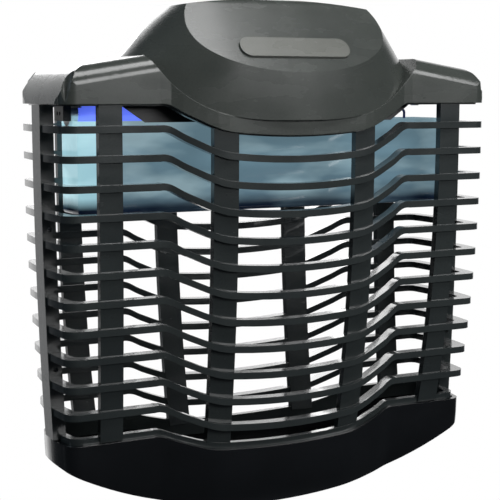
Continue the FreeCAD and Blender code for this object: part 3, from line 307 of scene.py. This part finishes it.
def laminations(name):
    """Stacked steel laminations seen edge on, with varnish between them."""
    finish = Finish(name, (0.10, 0.10, 0.11), 0.45, 0.7)
    layers = finish.bands(0.7 * MM, "Y")
    finish.feed("Base Color", finish.blend(layers, (0.05, 0.045, 0.04), (0.20, 0.20, 0.21)))
    finish.bump(layers, 0.00008)
    finish.bump(finish.noise(1.5 * MM, detail=4), 0.00003)
    return finish.material


def winding(name, colour):
    """A taped coil: overlapping turns of tape with a faint sheen."""
    finish = Finish(name, colour, 0.35)
    wraps = finish.bands(3.0 * MM, "X", 0.6, "SAW")
    dark = tuple(c * 0.6 for c in colour)
    finish.feed("Base Color", finish.blend(wraps, dark, colour))
    finish.bump(wraps, 0.00012)
    finish.plain("Coat Weight", 0.3)
    return finish.material


def circuit_laminate():
    """Green solder mask over blocky copper tracks."""
    finish = Finish("circuit_laminate", (0.02, 0.12, 0.05), 0.3)
    tracks = finish.cells(5 * MM)
    under = finish.spread(tracks, 0, 1, 0.42, 0.46)
    finish.feed("Base Color", finish.blend(under, (0.02, 0.10, 0.045), (0.035, 0.19, 0.08)))
    finish.bump(under, 0.00004)
    finish.plain("Coat Weight", 0.4)
    return finish.material


def dipped(name, colour, roughness=0.25, orange_peel=2 * MM):
    """Epoxy, lacquer or glazed ceramic: glossy with a slight orange peel."""
    finish = Finish(name, colour, roughness)
    peel = finish.noise(orange_peel, detail=2)
    light = tuple(min(1.0, c * 1.25 + 0.01) for c in colour)
    finish.feed("Base Color", finish.blend(finish.spread(peel, 0, 0.6, 0.4, 0.7), colour, light))
    cloudy = finish.noise(5 * MM, detail=4)
    finish.feed("Roughness", finish.spread(cloudy, roughness * 0.8, roughness * 1.3, *NOISE_RANGE))
    finish.bump(peel, 0.00003)
    return finish.material


def banded(name, body, rings, axis="Z"):
    """A lacquered body with coloured rings, as on a resistor or diode."""
    finish = Finish(name, body, 0.35)
    stripes = finish.bands(2.4 * MM, axis)
    finish.feed("Base Color", finish.blend(finish.spread(stripes, 0, 1, 0.75, 0.8), body, rings))
    finish.bump(finish.noise(1.5 * MM, detail=2), 0.00003)
    return finish.material


def gland_rubber():
    """Dull black rubber."""
    finish = moulded("gland_rubber", (0.012, 0.012, 0.013), (0.02, 0.02, 0.02),
                     grain=0.8 * MM, roughness=0.6, edge=0.3 * MM, depth=0.04 * MM)
    return finish.material


def lead_insulation(name, colour):
    """Soft coloured plastic on a wire."""
    lighter = tuple(c * 1.2 for c in colour)
    finish = moulded(name, colour, lighter, grain=0.5 * MM, roughness=0.5, edge=0.1 * MM, depth=0.02 * MM)
    return finish.material


# ---------------------------------------------------------------- which node wears which finish

zinc = metal("zinc_plate", (0.60, 0.61, 0.63), 0.28).material
drawn = metal("drawn_wire", (0.66, 0.67, 0.69), 0.24, scratch=(0.08, 1, 1)).material
plated = metal("plated_wire", (0.74, 0.75, 0.76), 0.14, scratch=(0.1, 1, 1)).material
aluminium = metal("spun_aluminium", (0.72, 0.72, 0.73), 0.30, scratch=(1, 0.1, 0.1)).material
brass = metal("contact_brass", (0.72, 0.52, 0.24), 0.25).material
mirror = metal("reflector_strip", (0.86, 0.86, 0.88), 0.08, scratch=(0.05, 1, 1), depth=0.000003).material
hood = hood_plastic()
guard = guard_plastic()
white_plastic = moulded("holder_plastic", (0.70, 0.70, 0.67), (0.76, 0.76, 0.73),
                        grain=0.6 * MM, roughness=0.4, edge=0.3 * MM).material
black_plastic = moulded("socket_plastic", (0.012, 0.012, 0.013), (0.018, 0.018, 0.019),
                        grain=0.6 * MM, roughness=0.35, edge=0.3 * MM).material

WEARS = {
    "hood_front_shell": hood,
    "hood_rear_shell": hood,
    "badge_plate": badge_plastic(),
    "front_cage": guard,
    "rear_cage": guard,
    "collection_tray": tray_plastic(),
    "lamp_shroud": shroud_plastic(),
    "uv_tube": lit_tube(),
    "lamp_caps": aluminium,
    "lamp_pins": brass,
    "lamp_holder_left": black_plastic,
    "lamp_holder_right": black_plastic,
    "live_grid": drawn,
    "ground_grid": drawn,
    "grid_insulators": dipped("glazed_ceramic", (0.78, 0.75, 0.66), 0.2),
    "hood_screws": zinc,
    "cage_screws": zinc,
    "seam_screws": zinc,
    "shroud_screws": zinc,
    "deck_screws": zinc,
    "board_screws": zinc,
    "bay_deck": black_enamel(),
    "lamp_reflector": mirror,
    "transformer_core": laminations("transformer_steel"),
    "choke_core": laminations("choke_steel"),
    "transformer_coil": winding("transformer_tape", (0.62, 0.42, 0.06)),
    "choke_coil": winding("choke_tape", (0.55, 0.50, 0.40)),
    "circuit_board": circuit_laminate(),
    "board_standoffs": white_plastic,
    "capacitors": dipped("blue_epoxy", (0.02, 0.07, 0.28)),
    "diodes": banded("diode_epoxy", (0.012, 0.012, 0.014), (0.6, 0.6, 0.6), "X"),
    "resistors": banded("resistor_lacquer", (0.55, 0.44, 0.28), (0.35, 0.05, 0.02), "X"),
    "fuse": dipped("fuse_ceramic", (0.75, 0.74, 0.70), 0.3),
    "starter": aluminium,
    "starter_socket": white_plastic,
    "terminal_block": white_plastic,
    "lamp_leads": lead_insulation("red_insulation", (0.35, 0.02, 0.015)),
    "grid_leads": lead_insulation("blue_insulation", (0.02, 0.05, 0.30)),
    "supply_leads": lead_insulation("black_insulation", (0.015, 0.015, 0.016)),
    "cord_gland": gland_rubber(),
    "hanger_bail": plated,
}
SMOOTH_BELOW = math.radians(32)

for name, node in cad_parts.items():
    node.data.materials.clear()
    node.data.materials.append(WEARS[name])
    node.data.shade_smooth()
    node.data.set_sharp_from_angle(angle=SMOOTH_BELOW)


# ---------------------------------------------------------------- studio

FLOOR_DROP = 0.26
FLOOR_HALF = 6.0
FLOOR_FADE = (0.35, 0.75)  # metres from the middle, where the floor turns plain white
PAPER_DIRECTION = (0.447, 0.894, 0)  # from the object towards the white paper, away from the camera
PAPER_EDGE = (0.60, 0.88)  # cosines of the angles from that direction where the paper begins and is full
ROOM_COLOUR = (0.030, 0.034, 0.038, 1)
WHITE = (1, 1, 1, 1)
CAMERA_PLACE = (-0.3855, -0.7535, -0.0571)
CAMERA_HEADING = (0.44407, 0.88737, -0.12402)
SENSOR_MM = 36.0
LENS_MM = 90.7


def studio_floor():
    """A pale floor well below the hung object. It fades to plain white away from the middle."""
    level = CAD_LOW.z - FLOOR_DROP
    corners = [(x * FLOOR_HALF, y * FLOOR_HALF, level) for x, y in ((-1, -1), (1, -1), (1, 1), (-1, 1))]
    mesh = bpy.data.meshes.new("studio_floor")
    mesh.from_pydata(corners, [], [(0, 1, 2, 3)])
    floor = bpy.data.objects.new("studio_floor", mesh)
    bpy.context.scene.collection.objects.link(floor)
    finish = Finish("floor_paper", (0.86, 0.86, 0.85), 0.8)
    finish.bump(finish.noise(3 * MM, detail=3), 0.0001)
    glow = finish.add("ShaderNodeEmission")
    glow.inputs["Color"].default_value = WHITE
    distance = finish.add("ShaderNodeVectorMath", operation="LENGTH")
    finish.link(finish.place, distance, "Vector")
    mix = finish.add("ShaderNodeMixShader")
    finish.link(finish.spread(distance.outputs["Value"], 0, 1, *FLOOR_FADE), mix, "Fac")
    finish.tree.links.new(finish.shader.outputs["BSDF"], mix.inputs[1])
    finish.tree.links.new(glow.outputs["Emission"], mix.inputs[2])
    finish.link(mix.outputs["Shader"], finish.output, "Surface")
    mesh.materials.append(finish.material)
    floor.visible_diffuse = False
    floor.visible_glossy = False


def studio_world():
    """White paper behind the object and a dim room elsewhere. The camera itself sees plain white."""
    world = bpy.data.worlds.new("studio")
    world.use_nodes = True
    tree = world.node_tree
    tree.nodes.clear()
    place = tree.nodes.new("ShaderNodeTexCoord")
    towards = tree.nodes.new("ShaderNodeVectorMath")
    towards.operation = "DOT_PRODUCT"
    tree.links.new(place.outputs["Generated"], towards.inputs[0])
    towards.inputs[1].default_value = PAPER_DIRECTION
    behind = tree.nodes.new("ShaderNodeMapRange")
    behind.interpolation_type = "SMOOTHSTEP"
    tree.links.new(towards.outputs["Value"], behind.inputs["Value"])
    behind.inputs["From Min"].default_value = PAPER_EDGE[0]
    behind.inputs["From Max"].default_value = PAPER_EDGE[1]
    room = tree.nodes.new("ShaderNodeMix")
    room.data_type = "RGBA"
    tree.links.new(behind.outputs["Result"], room.inputs["Factor"])
    colours = [s for s in room.inputs if s.type == "RGBA"]
    colours[0].default_value = ROOM_COLOUR
    colours[1].default_value = WHITE
    rays = tree.nodes.new("ShaderNodeLightPath")
    seen = tree.nodes.new("ShaderNodeMix")
    seen.data_type = "RGBA"
    tree.links.new(rays.outputs["Is Camera Ray"], seen.inputs["Factor"])
    sides = [s for s in seen.inputs if s.type == "RGBA"]
    tree.links.new(next(s for s in room.outputs if s.type == "RGBA"), sides[0])
    sides[1].default_value = WHITE
    background = tree.nodes.new("ShaderNodeBackground")
    tree.links.new(next(s for s in seen.outputs if s.type == "RGBA"), background.inputs["Color"])
    output = tree.nodes.new("ShaderNodeOutputWorld")
    tree.links.new(background.outputs["Background"], output.inputs["Surface"])
    bpy.context.scene.world = world


def softbox(name, place, aim, width, height, power, colour=(1, 1, 1)):
    """A soft rectangular light at a place, facing its aim."""
    lamp = bpy.data.lights.new(name, "AREA")
    lamp.shape = "RECTANGLE"
    lamp.size = width
    lamp.size_y = height
    lamp.energy = power
    lamp.color = colour
    light = bpy.data.objects.new(name, lamp)
    light.location = place
    towards = Vector(aim) - Vector(place)
    light.rotation_euler = towards.to_track_quat("-Z", "Y").to_euler()
    bpy.context.scene.collection.objects.link(light)
    return light


def camera():
    """At the photograph's viewing angle: to the left of the front, looking slightly down."""
    lens = bpy.data.cameras.new("camera")
    lens.sensor_width = SENSOR_MM
    lens.lens = LENS_MM
    view = bpy.data.objects.new("camera", lens)
    view.location = CAMERA_PLACE
    view.rotation_euler = Vector(CAMERA_HEADING).to_track_quat("-Z", "Y").to_euler()
    bpy.context.scene.collection.objects.link(view)
    bpy.context.scene.camera = view


studio_floor()
studio_world()
softbox("overhead", (0.10, -0.45, 0.85), (0, 0, -0.05), 0.7, 0.5, 7.0)
softbox("front_panel", (0.40, -1.00, 0.22), (0, 0, -0.02), 0.9, 0.35, 6.4)
softbox("left_fill", (-1.1, 0.25, 0.30), (0, 0, 0.0), 0.25, 0.4, 2.4, (0.75, 0.88, 1.0))
softbox("rear_fill", (0.3, 1.1, 0.35), (0, 0, -0.1), 0.8, 0.5, 4.0)
camera()
bpy.context.scene.view_settings.view_transform = "Standard"
